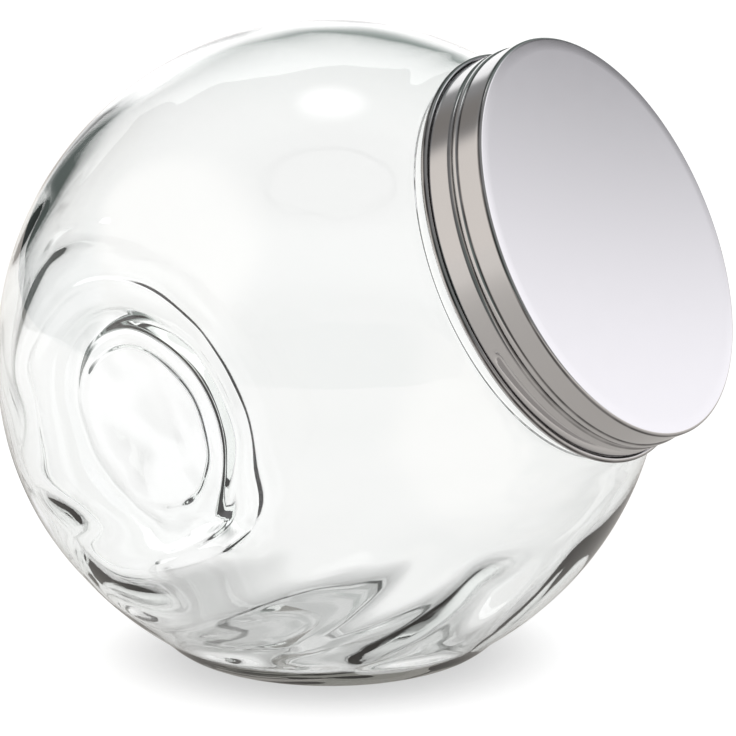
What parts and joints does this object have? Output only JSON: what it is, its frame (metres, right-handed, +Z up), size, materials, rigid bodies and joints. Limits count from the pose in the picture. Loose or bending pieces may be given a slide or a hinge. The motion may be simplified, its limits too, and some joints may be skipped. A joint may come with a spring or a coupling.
{
  "type": "coin bank jar",
  "caption": "Tilted clear glass ball jar with a flat resting side, a round base opposite its mouth, and a pressed steel screw cap with a loose sealing liner.",
  "frame": {"origin": "middle of the flat resting face, on the surface that the jar lies on", "axes": "+Z up, the mouth's axis leans from the ball's centre towards +X at 25 degrees above level, +Y completes the right-handed frame"},
  "size_m": [0.1927, 0.176, 0.1694],
  "materials": {
    "clear_glass": "clear fire-polished soda-lime glass",
    "polished_steel": "polished, with fine hairline scratches",
    "white_foam": "matt closed-cell polyethylene foam"
  },
  "bodies": {
    "jar": {"glass_jar": "clear_glass"},
    "liner": {"lid_liner": "white_foam"},
    "lid": {"lid_shell": "polished_steel"}
  },
  "joints": [
    {"name": "lid_rise", "type": "slide", "parent": "jar", "child": "liner", "axis": [0.9063, 0, 0.4226], "range_m": [0, 0.0252]},
    {"name": "lid_turn", "type": "hinge", "parent": "liner", "child": "lid", "pos_m": [0, 0, 0.0814], "axis": [0.9063, 0, 0.4226], "range_deg": [0, 2160]}
  ],
  "couplings": [
    {"joint": "lid_rise", "follows": "lid_turn", "m_per_rad": 0.00066845}
  ]
}
